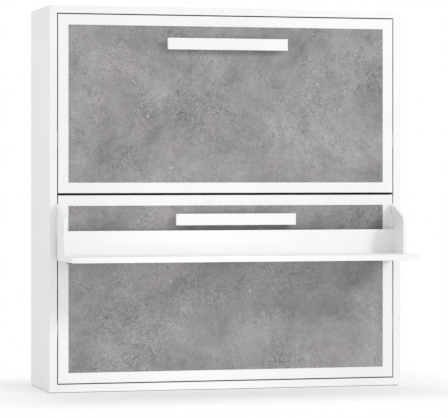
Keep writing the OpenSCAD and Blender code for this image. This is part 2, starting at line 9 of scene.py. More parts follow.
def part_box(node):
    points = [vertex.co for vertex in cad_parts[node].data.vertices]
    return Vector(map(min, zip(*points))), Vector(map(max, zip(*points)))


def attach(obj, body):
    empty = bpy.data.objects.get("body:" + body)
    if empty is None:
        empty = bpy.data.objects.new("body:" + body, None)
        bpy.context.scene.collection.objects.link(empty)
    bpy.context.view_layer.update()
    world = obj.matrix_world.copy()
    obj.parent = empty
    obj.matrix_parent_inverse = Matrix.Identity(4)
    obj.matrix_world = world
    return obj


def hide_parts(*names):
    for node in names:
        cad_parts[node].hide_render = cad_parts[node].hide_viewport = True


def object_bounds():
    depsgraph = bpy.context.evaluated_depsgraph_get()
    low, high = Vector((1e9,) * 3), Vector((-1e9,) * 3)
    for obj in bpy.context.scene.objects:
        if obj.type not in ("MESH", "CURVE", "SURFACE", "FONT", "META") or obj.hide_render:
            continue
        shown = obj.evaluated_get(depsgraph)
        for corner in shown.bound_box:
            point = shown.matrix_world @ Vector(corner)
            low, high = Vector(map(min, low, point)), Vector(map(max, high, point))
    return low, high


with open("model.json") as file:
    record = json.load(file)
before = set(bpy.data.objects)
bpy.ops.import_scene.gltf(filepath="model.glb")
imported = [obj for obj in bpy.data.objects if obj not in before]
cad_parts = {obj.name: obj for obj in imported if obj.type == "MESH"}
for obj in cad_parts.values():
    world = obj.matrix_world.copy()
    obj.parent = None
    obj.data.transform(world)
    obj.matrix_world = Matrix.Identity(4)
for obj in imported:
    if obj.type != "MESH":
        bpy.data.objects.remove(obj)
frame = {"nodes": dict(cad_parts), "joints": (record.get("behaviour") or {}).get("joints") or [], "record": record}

cad_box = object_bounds()
nodes = frame["nodes"]
slot_of = {s["node"]: s["material_slot"] for s in frame["record"]["subparts"]}
BEDS = ("lower", "upper")

# Lengths are in metres unless a name says otherwise. X runs to the right, Y from front to back and Z up.

# ---------------------------------------------------------------- camera
# The photograph's viewpoint: a long lens held level, left of the cabinet and turned a little to the right.
IMAGE_W = 448
FOCAL_PX = 2485
HORIZON_ROW = 172.7
MIDDLE_ROW = 208.5
SENSOR_MM = 36
CAMERA_AT = (-3.616, -13.744, 1.233)
CAMERA_YAW = 14.71        # degrees
VIEW_DEPTH = 200


def make_camera():
    cam = bpy.data.cameras.new("camera")
    cam.sensor_width = SENSOR_MM
    cam.lens = FOCAL_PX / IMAGE_W * SENSOR_MM
    cam.shift_y = (HORIZON_ROW - MIDDLE_ROW) / IMAGE_W
    cam.clip_end = VIEW_DEPTH
    obj = bpy.data.objects.new("camera", cam)
    obj.location = CAMERA_AT
    obj.rotation_euler = (math.radians(90), 0, -math.radians(CAMERA_YAW))
    bpy.context.scene.collection.objects.link(obj)
    bpy.context.scene.camera = obj


make_camera()


# ---------------------------------------------------------------- node helpers
NOISE_LOW = 0.3           # most of a noise texture's values lie between these two
NOISE_HIGH = 0.7
# The sockets that the Mix node uses for colours. Those for other types have the same names.
MIX_FACTOR = 0
MIX_A = 6
MIX_B = 7
MIX_RESULT = 2


def grey(level):
    return (level, level, level)


class Shader:
    """A small builder for a Principled material on object coordinates, in metres."""

    def __init__(self, name, color, roughness):
        self.mat = bpy.data.materials.new(name)
        self.mat.use_nodes = True
        self.tree = self.mat.node_tree
        self.bsdf = self.tree.nodes["Principled BSDF"]
        self.coords = self.tree.nodes.new("ShaderNodeTexCoord").outputs["Object"]
        self.bsdf.inputs["Base Color"].default_value = (*color, 1)
        self.bsdf.inputs["Roughness"].default_value = roughness

    def link(self, a, b):
        self.tree.links.new(a, b)

    def node(self, kind, **values):
        made = self.tree.nodes.new(kind)
        for key, value in values.items():
            setattr(made, key, value)
        return made

    def stretched(self, scale):
        mapping = self.node("ShaderNodeMapping")
        mapping.inputs["Scale"].default_value = scale
        self.link(self.coords, mapping.inputs["Vector"])
        return mapping.outputs["Vector"]

    def noise(self, scale, detail=4, rough=0.5, distortion=0, vector=None):
        tex = self.node("ShaderNodeTexNoise")
        tex.inputs["Scale"].default_value = scale
        tex.inputs["Detail"].default_value = detail
        tex.inputs["Roughness"].default_value = rough
        tex.inputs["Distortion"].default_value = distortion
        self.link(vector or self.coords, tex.inputs["Vector"])
        return tex.outputs["Fac"]

    def cells(self, scale, output="Distance"):
        tex = self.node("ShaderNodeTexVoronoi", feature="F1")
        tex.inputs["Scale"].default_value = scale
        self.link(self.coords, tex.inputs["Vector"])
        return tex.outputs[output]

    def bands(self, scale, distortion, direction):
        tex = self.node("ShaderNodeTexWave", wave_type="BANDS", bands_direction=direction)
        tex.inputs["Scale"].default_value = scale
        tex.inputs["Distortion"].default_value = distortion
        self.link(self.coords, tex.inputs["Vector"])
        return tex.outputs["Fac"]

    def ramp(self, value, low, high, out_low=0.0, out_high=1.0):
        """The value taken from the range low to high to the range out_low to out_high, and held to it."""
        tex = self.node("ShaderNodeMapRange")
        tex.clamp = True
        tex.inputs["From Min"].default_value = low
        tex.inputs["From Max"].default_value = high
        tex.inputs["To Min"].default_value = out_low
        tex.inputs["To Max"].default_value = out_high
        self.link(value, tex.inputs["Value"])
        return tex.outputs["Result"]

    def between(self, share, low, high):
        return self.ramp(share, 0, 1, low, high)

    def dots(self, scale, core, rim):
        """A dot round the middle of each cell: 1 up to the distance core, 0 beyond the distance rim."""
        return self.ramp(self.cells(scale), core, rim, 1.0, 0.0)

    def picked(self, scale, share):
        """1 in a share of the cells, which are picked at random, and 0 in the others."""
        chance = self.node("ShaderNodeSeparateColor")
        self.link(self.cells(scale, output="Color"), chance.inputs["Color"])
        return self.math("GREATER_THAN", chance.outputs["Red"], 1 - share)

    def math(self, operation, a, b):
        made = self.node("ShaderNodeMath", operation=operation)
        for i, value in enumerate((a, b)):
            if isinstance(value, (int, float)):
                made.inputs[i].default_value = value
            else:
                self.link(value, made.inputs[i])
        return made.outputs[0]

    def times(self, a, b):
        return self.math("MULTIPLY", a, b)

    def vector_math(self, operation, a, b=None):
        made = self.node("ShaderNodeVectorMath", operation=operation)
        self.link(a, made.inputs[0])
        if b is not None:
            made.inputs[1].default_value = b
        return made.outputs["Value" if operation == "LENGTH" else "Vector"]

    def mix(self, factor, a, b, blend="MIX"):
        made = self.node("ShaderNodeMix", data_type="RGBA", blend_type=blend)
        made.clamp_factor = True
        for socket, value in ((MIX_FACTOR, factor), (MIX_A, a), (MIX_B, b)):
            if isinstance(value, (int, float)):
                made.inputs[socket].default_value = value
            elif isinstance(value, tuple):
                made.inputs[socket].default_value = (*value, 1)
            else:
                self.link(value, made.inputs[socket])
        return made.outputs[MIX_RESULT]

    def layered(self, *layers):
        """The sum of the layers' values about their middle, each times its weight, about 0.5."""
        total = 0.5
        for value, weight in layers:
            part = self.times(self.math("SUBTRACT", value, 0.5), weight)
            total = self.math("ADD", part, total)
        return total

    def color(self, value):
        self.link(value, self.bsdf.inputs["Base Color"])

    def rough(self, value):
        self.link(value, self.bsdf.inputs["Roughness"])

    def uneven_gloss(self, scale, low, high, detail=3):
        """Roughness that wanders between two values."""
        self.rough(self.ramp(self.noise(scale, detail), NOISE_LOW, NOISE_HIGH, low, high))

    def sheen(self, weight):
        self.bsdf.inputs["Sheen Weight"].default_value = weight

    def bump(self, height, distance, strength):
        made = self.node("ShaderNodeBump")
        made.inputs["Distance"].default_value = distance
        made.inputs["Strength"].default_value = strength
        self.link(height, made.inputs["Height"])
        self.link(made.outputs["Normal"], self.bsdf.inputs["Normal"])


# ---------------------------------------------------------------- materials
def white_laminate():
    """Matt white melamine: a fine pebbled surface with the faintest clouding."""
    look = Shader("white_laminate", grey(0.9), roughness=0.42)
    cloud = look.ramp(look.noise(3.0, detail=3), 0.35, 0.65)
    look.color(look.mix(cloud, grey(0.885), (0.905, 0.905, 0.9)))
    look.uneven_gloss(60, low=0.38, high=0.48)
    look.bump(look.noise(900, detail=2), distance=0.00008, strength=0.5)
    return look.mat


def concrete_laminate():
    """Concrete effect: broad clouds, sandy patches with crumbs, pale grains and pits, and a few specks."""
    look = Shader("concrete_laminate", (0.31, 0.3, 0.301), roughness=0.55)
    cloud = look.noise(1.85, detail=4, rough=0.78, distortion=0.3)
    patch = look.ramp(look.noise(3.8, detail=4, rough=0.65, distortion=1.0), 0.45, 0.62)
    crumb = look.noise(50, detail=2, rough=0.8)
    sand = look.noise(165, detail=4, rough=0.75)
    cloud_weight = 1.7
    crumb_weight = look.between(patch, low=0.3, high=1.2)
    sand_weight = look.between(patch, low=0.8, high=2.1)
    tone = look.layered((cloud, cloud_weight), (crumb, crumb_weight), (sand, sand_weight))
    base = look.mix(tone, grey(0.12), grey(0.445))

    chip = look.times(look.ramp(crumb, 0.6, 0.72), look.between(patch, low=0.0, high=0.5))
    base = look.mix(chip, base, grey(0.12))
    grain = look.times(look.ramp(sand, 0.53, 0.62), look.times(patch, 0.35))
    base = look.mix(grain, base, grey(0.55))
    speck = look.times(look.dots(15, core=0.03, rim=0.16), look.picked(15, share=0.04))
    base = look.mix(look.times(speck, 0.7), base, grey(0.62))
    pit = look.times(look.dots(55, core=0.05, rim=0.12), look.times(patch, 0.8))
    base = look.mix(pit, base, grey(0.1))

    warmth = look.ramp(look.noise(2.3, detail=3, rough=0.7, distortion=0.5), 0.4, 0.6)
    tint = look.mix(warmth, (1.0, 0.968, 0.985), (1.0, 0.962, 0.948))
    look.color(look.mix(1.0, base, tint, blend="MULTIPLY"))
    look.rough(look.ramp(cloud, 0.35, 0.65, out_low=0.5, out_high=0.62))
    relief = look.math("SUBTRACT", look.times(sand, 0.5), pit)
    look.bump(relief, distance=0.0003, strength=0.4)
    return look.mat


def white_paint():
    """White powder coat on steel: an orange-peel surface."""
    look = Shader("white_paint", grey(0.9), roughness=0.38)
    peel = look.noise(700, detail=2)
    look.color(look.mix(look.ramp(peel, 0.35, 0.65), grey(0.885), grey(0.905)))
    look.uneven_gloss(40, low=0.34, high=0.42)
    look.bump(peel, distance=0.00012, strength=0.5)
    return look.mat


def powder_coat():
    """Dark grey powder coat with a fine fleck."""
    look = Shader("frame_paint", (0.12, 0.125, 0.13), roughness=0.5)
    fleck = look.ramp(look.noise(900, detail=3, rough=0.6), 0.35, 0.65)
    look.color(look.mix(fleck, (0.105, 0.11, 0.115), (0.14, 0.145, 0.15)))
    look.uneven_gloss(25, low=0.42, high=0.58)
    look.bump(fleck, distance=0.00015, strength=0.6)
    return look.mat


def zinc_steel():
    """Zinc-plated steel, with crystals that differ a little in brightness."""
    look = Shader("steel", (0.62, 0.63, 0.65), roughness=0.35)
    look.bsdf.inputs["Metallic"].default_value = 1
    spangle = look.node("ShaderNodeRGBToBW")
    look.link(look.cells(60, output="Color"), spangle.inputs["Color"])
    look.color(look.mix(spangle.outputs["Val"], (0.55, 0.56, 0.58), (0.68, 0.69, 0.7)))
    look.uneven_gloss(220, low=0.26, high=0.44)
    look.bump(look.noise(400, detail=2), distance=0.00005, strength=0.4)
    return look.mat


def satin_black():
    """The gas struts' smooth black paint."""
    look = Shader("strut_paint", (0.03, 0.03, 0.032), roughness=0.32)
    look.color(look.mix(look.noise(40, detail=3), (0.026, 0.026, 0.028), (0.036, 0.036, 0.038)))
    look.uneven_gloss(120, low=0.26, high=0.4)
    look.bump(look.noise(300, detail=2), distance=0.00006, strength=0.3)
    return look.mat


def black_plastic():
    """Moulded plastic with a fine grain."""
    look = Shader("black_plastic", grey(0.03), roughness=0.5)
    grain = look.cells(1400)
    look.color(look.mix(grain, (0.024, 0.024, 0.025), grey(0.036)))
    look.uneven_gloss(50, low=0.42, high=0.55, detail=2)
    look.bump(grain, distance=0.0001, strength=0.5)
    return look.mat


def rubber():
    """Matt rubber with a little dust on it."""
    look = Shader("rubber", grey(0.035), roughness=0.8)
    dust = look.ramp(look.noise(30, detail=4, rough=0.7), 0.45, 0.75, out_high=0.5)
    look.color(look.mix(dust, grey(0.03), (0.075, 0.073, 0.07)))
    look.bump(look.noise(500, detail=3), distance=0.0001, strength=0.6)
    return look.mat


def beech_ply():
    """Lacquered beech: long grain and short dark flecks along each slat."""
    look = Shader("beech", (0.66, 0.46, 0.26), roughness=0.4)
    along = look.stretched((9.0, 9.0, 0.7))
    rings = look.noise(7.0, detail=5, rough=0.6, distortion=0.8, vector=along)
    rings = look.ramp(rings, NOISE_LOW, NOISE_HIGH)
    base = look.mix(rings, (0.58, 0.38, 0.2), (0.72, 0.53, 0.32))
    short = look.noise(60, detail=2, vector=look.stretched((9.0, 9.0, 1.4)))
    fleck = look.ramp(short, 0.6, 0.72, out_high=0.5)
    look.color(look.mix(fleck, base, (0.42, 0.25, 0.12)))
    look.rough(look.between(rings, low=0.34, high=0.46))
    look.bump(rings, distance=0.0002, strength=0.4)
    return look.mat


def ticking():
    """Knitted mattress cover: a fine rib with a soft sheen."""
    look = Shader("mattress_fabric", (0.8, 0.79, 0.75), roughness=0.85)
    look.sheen(0.25)
    rib = look.bands(160, distortion=0.6, direction="X")
    knit = look.times(rib, look.ramp(look.noise(700, detail=2), 0.2, 0.8, out_low=0.6))
    cloud = look.ramp(look.noise(5, detail=3), NOISE_LOW, NOISE_HIGH)
    base = look.mix(cloud, (0.75, 0.74, 0.70), (0.84, 0.83, 0.80))
    look.color(look.mix(look.times(knit, 0.25), base, (0.62, 0.61, 0.58)))
    look.bump(knit, distance=0.0006, strength=0.6)
    return look.mat


def webbing():
    """Dark woven straps with slanted rows of yarn."""
    look = Shader("webbing", (0.1, 0.1, 0.11), roughness=0.8)
    look.sheen(0.2)
    rows = look.bands(260, distortion=1.0, direction="DIAGONAL")
    look.color(look.mix(rows, (0.06, 0.06, 0.065), (0.14, 0.14, 0.15)))
    look.bump(rows, distance=0.0005, strength=0.8)
    return look.mat


SLOTS = {
    "white_laminate": white_laminate(),
    "white_paint": white_paint(),
    "concrete_laminate": concrete_laminate(),
    "frame_paint": powder_coat(),
    "steel": zinc_steel(),
    "strut_paint": satin_black(),
    "black_plastic": black_plastic(),
    "rubber": rubber(),
    "beech": beech_ply(),
    "mattress_fabric": ticking(),
    "webbing": webbing(),
}

SHARP = math.radians(40)  # two faces at this angle or more have a sharp edge between them
EASE_STEPS = 3
WELD_GAP = 0.00001

# Nodes whose edges are eased a little, with the radius of the edge
EASED = {
    "left_side": 0.001, "right_side": 0.001, "top_panel": 0.001, "bottom_panel": 0.001,
    "mid_rail": 0.001, "wall_rail": 0.001, "bed_stops": 0.003, "magnet_catches": 0.002,
    "desk_board": 0.0012, "desk_upstand": 0.001, "left_wing": 0.001, "right_wing": 0.001,
    "guard_posts": 0.002, "guard_rails": 0.002,
}
# The same for what both beds have
BED_EASED = {
    "door_rails": 0.0006, "door_stiles": 0.0006, "handle": 0.0025, "handle_spacers": 0.0015,
    "frame_rails": 0.0012, "frame_ends": 0.0012, "frame_cross": 0.0012, "slats": 0.0015,
}
for bed_name in BEDS:
    EASED.update({bed_name + "_" + part: radius for part, radius in BED_EASED.items()})


def ease_edges(obj, radius):
    weld = obj.modifiers.new("weld", "WELD")
    weld.merge_threshold = WELD_GAP
    bevel = obj.modifiers.new("ease", "BEVEL")
    bevel.width = radius
    bevel.segments = EASE_STEPS
    bevel.limit_method = "ANGLE"
    bevel.angle_limit = SHARP
    bevel.harden_normals = True


def dress_nodes():
    """Each CAD node gets the material of its slot, and eased edges where it has them."""
    for name, obj in nodes.items():
        obj.data.materials.clear()
        obj.data.materials.append(SLOTS[slot_of[name]])
        if name in EASED:
            ease_edges(obj, EASED[name])


dress_nodes()


# ---------------------------------------------------------------- mesh helpers
ARC_STEPS = 5


def new_piece(name, parts, body, slot):
    """One object from a list of (verts, faces), shaded smooth except across its sharp edges."""
    verts, faces = [], []
    for v, f in parts:
        faces += [[k + len(verts) for k in face] for face in f]
        verts += v
    mesh = bpy.data.meshes.new(name)
    mesh.from_pydata(verts, [], faces)
    mesh.shade_smooth()
    bm = bmesh.new()
    bm.from_mesh(mesh)
    for edge in bm.edges:
        edge.smooth = edge.calc_face_angle(0) < SHARP
    bm.to_mesh(mesh)
    bm.free()
    mesh.materials.append(SLOTS[slot])
    obj = bpy.data.objects.new(name, mesh)
    bpy.context.scene.collection.objects.link(obj)
    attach(obj, body)
    return obj


def arc(centre, a, b):
    """Points round a centre from the arm a to the arm b, which are equally long."""
    angle = a.angle(b)
    points = []
    for k in range(ARC_STEPS + 1):
        t = k / ARC_STEPS
        start_share = math.sin((1 - t) * angle) / math.sin(angle)
        end_share = math.sin(t * angle) / math.sin(angle)
        points.append(centre + a * start_share + b * end_share)
    return points


def round_path(points, radius, closed=False):
    """The points of a polyline in a plane with its corners turned into arcs."""
    n = len(points)
    out = []
    for i, p in enumerate(points):
        p = Vector(p)
        if not closed and i in (0, n - 1):
            out.append(p)
            continue
        before = (Vector(points[i - 1]) - p).normalized()
        after = (Vector(points[(i + 1) % n]) - p).normalized()
        half = before.angle(after) / 2
        reach = radius / math.tan(half)
        centre = p + (before + after).normalized() * (radius / math.sin(half))
        out += arc(centre, p + before * reach - centre, p + after * reach - centre)
    return out


def loft(rings, closed=False):
    """Verts and faces of a skin through rings of points. It joins up with its start, or has flat ends."""
    n, m = len(rings), len(rings[0])
    faces = []
    for i in range(n if closed else n - 1):
        for k in range(m):
            a, b = i * m, (i + 1) % n * m
            faces.append((a + k, a + (k + 1) % m, b + (k + 1) % m, b + k))
    if not closed:
        faces.append(tuple(range(m - 1, -1, -1)))
        faces.append(tuple((n - 1) * m + k for k in range(m)))
    return [p for ring in rings for p in ring], faces


def sweep(path, section, across, closed=False):
    """A section carried along a path that lies square to the vector across."""
    across = Vector(across)
    rings = []
    for i, p in enumerate(path):
        ahead = path[(i + 1) % len(path)] if closed or i < len(path) - 1 else p
        behind = path[i - 1] if closed or i > 0 else p
        side = (ahead - behind).normalized().cross(across)
        rings.append([p + across * u + side * v for u, v in section])
    return loft(rings, closed)


def circle_section(radius, n=12):
    return [(radius * math.cos(math.tau * k / n), radius * math.sin(math.tau * k / n)) for k in range(n)]


# ---------------------------------------------------------------- mattresses
CELL = 0.0125             # side of a cell of the sewn cover
DIAMOND = 10              # cells across a quilted diamond
CORNER_R = 0.06
PUFF = 0.009              # rise of a diamond above its stitches
SHOULDER = 0.012          # fall of a panel towards its edge
SHOULDER_RUN = 0.03       # distance from the edge at which about a third of that fall is left
PIPING_R = 0.0035
EDGE_INSET = 0.005        # the seams' distance inside the widest outline
BAND_PULL = 0.006         # the border's further distance at half height
SIDE_PULL = 0.004         # how far a side is drawn in halfway along it
BAND_ROWS = 10
BAND_STITCH_ROWS = (3, 7)
COVER_SLACK = 0.035       # spare cloth between the stitches, as a share of its length
PRESSURE = 4
LAST_FRAME = 20


def rounded(u, v, half_x, half_z):
    """Where a rounded rectangle with those half sizes has the point u, v of a square from -1 to 1."""
    x = u * (half_x - SIDE_PULL * (1 - v * v))
    z = v * (half_z - SIDE_PULL * (1 - u * u))
    dx, dz = abs(x) - (half_x - CORNER_R), abs(z) - (half_z - CORNER_R)
    if dx > 0 and dz > 0:
        pull = max(dx, dz) / math.hypot(dx, dz)
        x = math.copysign(half_x - CORNER_R + dx * pull, x)
        z = math.copysign(half_z - CORNER_R + dz * pull, z)
    return x, z


class Cover:
    """A mattress cover as it is sewn, round the origin: two quilted panels and the border between them."""

    def __init__(self, half):
        self.half = half
        self.columns = round(2 * half.x / CELL)
        self.rows = round(2 * half.z / CELL)
        self.verts = []
        self.faces = []
        self.stitched = []
        under = self.panel(-1)
        top = self.panel(1)
        self.border(under, top)
        self.seams = [[Vector(self.verts[k]) for k in loop] for loop in (under, top)]

    def rim(self):
        """The grid places round a panel's edge, in order."""
        n, m = self.columns, self.rows
        places = [(i, 0) for i in range(n)] + [(n, j) for j in range(m)]
        return places + [(i, m) for i in range(n, 0, -1)] + [(0, j) for j in range(m, 0, -1)]

    def falling(self, i, j):
        """Whether a falling line of stitches goes through a grid place."""
        return (i - self.columns // 2 + j - self.rows // 2) % DIAMOND == 0

    def rising(self, i, j):
        """Whether a rising line of stitches goes through a grid place."""
        return (i - self.columns // 2 - j + self.rows // 2) % DIAMOND == 0

    def add(self, i, j, inset, y):
        """A new vert at a grid place, inset from the widest outline, and its number."""
        u, v = 2 * i / self.columns - 1, 2 * j / self.rows - 1
        x, z = rounded(u, v, self.half.x - inset, self.half.z - inset)
        self.verts.append((x, y, z))
        return len(self.verts) - 1

    def cuts(self, i, j):
        """A cell's faces, by its corners: one, or two where a line of stitches crosses the cell."""
        if self.rising(i, j):
            return [(0, 1, 2), (0, 2, 3)]
        if self.falling(i + 1, j):
            return [(0, 1, 3), (1, 2, 3)]
        return [(0, 1, 2, 3)]

    def panel(self, side):
        """The panel on the slats, side -1, or the top one, side 1. Returns the verts round its edge."""
        at = {}
        for j in range(self.rows + 1):
            for i in range(self.columns + 1):
                edge = min(i, j, self.columns - i, self.rows - j) * CELL
                rise = self.half.y - PUFF - SHOULDER * math.exp(-edge / SHOULDER_RUN)
                at[i, j] = self.add(i, j, EDGE_INSET, side * rise)
                if self.falling(i, j) or self.rising(i, j) or edge == 0:
                    self.stitched.append(at[i, j])
        for j in range(self.rows):
            for i in range(self.columns):
                corners = [at[i, j], at[i + 1, j], at[i + 1, j + 1], at[i, j + 1]]
                for cut in self.cuts(i, j):
                    self.faces.append([corners[k] for k in cut[::-side]])
        return [at[place] for place in self.rim()]

    def border(self, under, top):
        """The strip between the seams, drawn in at half height and stitched along two of its rows."""
        low, high = self.verts[under[0]][1], self.verts[top[0]][1]
        rows = [under]
        for k in range(1, BAND_ROWS):
            share = k / BAND_ROWS
            inset = EDGE_INSET + BAND_PULL * math.sin(math.pi * share)
            row = [self.add(i, j, inset, low + (high - low) * share) for i, j in self.rim()]
            if k in BAND_STITCH_ROWS:
                self.stitched += row
            rows.append(row)
        rows.append(top)
        n = len(top)
        for lower, upper in zip(rows, rows[1:]):
            for k in range(n):
                self.faces.append([lower[k], upper[k], upper[(k + 1) % n], lower[(k + 1) % n]])


def inflate(obj, stitched):
    """Cloth under pressure from inside, held at its stitches. No point moves further than PUFF."""
    sewn = [v.co.copy() for v in obj.data.vertices]
    group = obj.vertex_groups.new(name="stitches")
    group.add(stitched, 1.0, "REPLACE")
    cloth = obj.modifiers.new("cloth", "CLOTH")
    cloth.settings.use_pressure = True
    cloth.settings.uniform_pressure_force = PRESSURE
    cloth.settings.effector_weights.gravity = 0
    cloth.settings.vertex_group_mass = "stitches"
    cloth.settings.shrink_min = -COVER_SLACK
    cloth.point_cache.frame_start = 1
    cloth.point_cache.frame_end = LAST_FRAME
    scene = bpy.context.scene
    for f in range(1, LAST_FRAME + 1):
        scene.frame_set(f)
    blown = obj.evaluated_get(bpy.context.evaluated_depsgraph_get()).data
    moved = [v.co.copy() for v in blown.vertices]
    obj.modifiers.remove(cloth)
    obj.vertex_groups.remove(group)
    scene.frame_set(1)
    for v, start, end in zip(obj.data.vertices, sewn, moved):
        step = end - start
        if step.length > PUFF:
            step *= PUFF / step.length
        v.co = start + step
    obj.data.update()


def make_mattress_mesh(half):
    """The mesh that both mattresses share, and its seams."""
    cover = Cover(half)
    mesh = bpy.data.meshes.new("mattress_cover")
    mesh.from_pydata(cover.verts, [], cover.faces)
    mesh.shade_smooth()
    obj = bpy.data.objects.new("mattress_cover", mesh)
    bpy.context.scene.collection.objects.link(obj)
    inflate(obj, cover.stitched)
    bpy.data.objects.remove(obj)
    mesh.materials.append(SLOTS["mattress_fabric"])
    return mesh, cover.seams


def make_mattresses():
    lo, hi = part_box("lower_mattress")
    mesh, seams = make_mattress_mesh((hi - lo) / 2)
    for bed in BEDS:
        lo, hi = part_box(bed + "_mattress")
        middle = (lo + hi) / 2
        cover = bpy.data.objects.new(bed + "_mattress_cover", mesh.copy())
        bpy.context.scene.collection.objects.link(cover)
        cover.data.transform(Matrix.Translation(middle))
        soften = cover.modifiers.new("soften", "SUBSURF")
        soften.levels = 1
        soften.render_levels = 1
        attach(cover, bed + "_bed")
        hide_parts(bed + "_mattress")
        piping = [sweep([p + middle for p in seam], circle_section(PIPING_R), (0, 1, 0), closed=True)
                  for seam in seams]
        new_piece(bed + "_mattress_piping", piping, bed + "_bed", "mattress_fabric")


make_mattresses()


# ---------------------------------------------------------------- straps
STRAP_T = 0.002
STRAP_W = 0.05
STRAP_EASE = 0.002        # between a strap and the mattress's long edges
STRAP_BEND = 0.012        # radius round a mattress's edges
SLIDE_W = 0.062
SLIDE_H = 0.036
SLIDE_WIRE_R = 0.0022
SLIDE_WIRE_SIDES = 10
SLIDE_CORNER_R = 0.005


def strap_slide(x, y, z):
    """A loop of wire round the point x, y, z, with a bar across its middle."""
    w, h = SLIDE_W / 2, SLIDE_H / 2
    corners = [(x - w, y, z - h), (x + w, y, z - h), (x + w, y, z + h), (x - w, y, z + h)]
    wire = circle_section(SLIDE_WIRE_R, SLIDE_WIRE_SIDES)
    loop = sweep(round_path(corners, SLIDE_CORNER_R, closed=True), wire, (0, 1, 0), closed=True)
    bar = sweep([Vector((x - w, y, z)), Vector((x + w, y, z))], wire, (0, 1, 0))
    return [loop, bar]


def make_straps(bed):
    """Two webbing straps that go round the mattress from rail to rail, each with a steel slide."""
    lo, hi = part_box(bed + "_straps")
    soft_lo, soft_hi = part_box(bed + "_mattress")
    half_t = STRAP_T / 2
    half_w = STRAP_W / 2
    section = [(-half_w, -half_t), (half_w, -half_t), (half_w, half_t), (-half_w, half_t)]
    near, far = lo.y + half_t, hi.y - half_t
    low, high = soft_lo.z - STRAP_EASE, soft_hi.z + STRAP_EASE
    bands, slides = [], []
    for side in (-1, 1):
        x = side * (hi.x - half_w)
        corners = [(x, near, lo.z), (x, near, low), (x, far, low)]
        corners += [(x, far, high), (x, near, high), (x, near, hi.z)]
        bands.append(sweep(round_path(corners, STRAP_BEND), section, (1, 0, 0)))
        slides += strap_slide(x, far + half_t + SLIDE_WIRE_R / 2, (low + high) / 2)
    strap = new_piece(bed + "_webbing", bands, bed + "_bed", "webbing")
    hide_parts(bed + "_straps")
    new_piece(bed + "_strap_slides", slides, bed + "_bed", "steel")


for bed_name in BEDS:
    make_straps(bed_name)


# ---------------------------------------------------------------- small fittings
# Places of the screws as (y, z) from the bed's pivot, and for the hinge from the desk's, as the CAD's holes
# have them
PIVOT_BRACKET_SCREWS = [(-0.02, -0.03), (-0.02, 0.05), (0.058, -0.03), (0.058, 0.05)]
STRUT_BRACKET_SCREWS = [(0.1, 0.193), (0.1, 0.241)]
PLATE_SCREWS = [(0, -0.21), (0, -0.14), (0, 0.06), (0, 0.13)]
HINGE_SCREWS = [(0, -0.045), (0, -0.025)]
BRACKET_T = 0.004
PLATE_T = 0.005
SCREW_R = 0.0045
SCREW_H = 0.002
BOLT_R = 0.006
BOLT_H = 0.003
BACK_SCREW_N = 9
BACK_SCREW_H = 0.0004
BACK_SCREW_SUNK = 0.0002
BACK_SCREW_INSET = 0.05   # from a side's inner face to the last screw
COVER_R = 0.0085
COVER_H = 0.001
COVER_INSET = 0.034       # from a side's inner face to the middle of a cover
COVER_SHARES = (0.14, 0.5, 0.86)
TUBE_WALL = 0.0025
TUBE_W = 0.025
PLUG_DEPTH = 0.008
PLUG_BACK = 0.0004        # a plug's distance inside the end of its tube
PLUG_GAP = 0.0002         # between a plug and its tube's wall
PLUG_CHAMFER = 0.001
# A plug's rings as (depth, distance from the tube's wall)
PLUG_RINGS = [(PLUG_DEPTH, PLUG_GAP), (PLUG_CHAMFER, PLUG_GAP), (0, PLUG_GAP + PLUG_CHAMFER)]

# A round head's rings as (share of its radius, share of its height), up its side and down its socket
HEAD_RINGS = [(1, 0), (1, 0.5), (0.9, 0.85), (0.72, 1)]
SOCKET_RINGS = [(0.42, 1), (0.42, 0.4)]
SOCKET_SIDES = 6
HEAD_STEPS = 12


def hexagon_reach(angle):
    """How much further a hexagon reaches in a direction than the circle inside it."""
    sector = math.tau / SOCKET_SIDES
    return 1 / math.cos((angle + sector / 2) % sector - sector / 2)


def button(at, facing, radius, height, socket=True):
    """A round head on a surface, with a hexagonal socket or a plain top."""
    turn = Vector(facing).to_track_quat("Z", "Y")

    def ring(size, level, hexagonal=False):
        points = []
        for k in range(HEAD_STEPS):
            angle = math.tau * k / HEAD_STEPS
            r = size * radius
            if hexagonal:
                r *= hexagon_reach(angle)
            upright = Vector((r * math.cos(angle), r * math.sin(angle), level * height))
            points.append(Vector(at) + turn @ upright)
        return points

    rings = [ring(size, level) for size, level in HEAD_RINGS]
    if socket:
        rings += [ring(size, level, hexagonal=True) for size, level in SOCKET_RINGS]
    return loft(rings)


def joint_place(name):
    return next(j["pos_m"] for j in frame["joints"] if j["name"] == name)


def bed_screws(bed, side_x):
    """The screw heads of one bed's fittings: those on the cabinet, and those on the bed."""
    _, y, z = joint_place(bed + "_bed_fold")
    plate_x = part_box(bed + "_frame_rails")[1].x + PLATE_T
    on_cabinet, on_bed = [], []
    for side in (-1, 1):
        for dy, dz in PIVOT_BRACKET_SCREWS + STRUT_BRACKET_SCREWS:
            at = (side * (side_x - BRACKET_T), y + dy, z + dz)
            on_cabinet.append(button(at, (-side, 0, 0), SCREW_R, SCREW_H))
        for dy, dz in PLATE_SCREWS:
            on_bed.append(button((side * plate_x, y + dy, z + dz), (side, 0, 0), BOLT_R, BOLT_H))
        if bed == "lower":
            _, hinge_y, hinge_z = joint_place("desk_level")
            for dy, dz in HINGE_SCREWS:
                at = (side * plate_x, hinge_y + dy, hinge_z + dz)
                on_bed.append(button(at, (side, 0, 0), SCREW_R, SCREW_H))
    return on_cabinet, on_bed


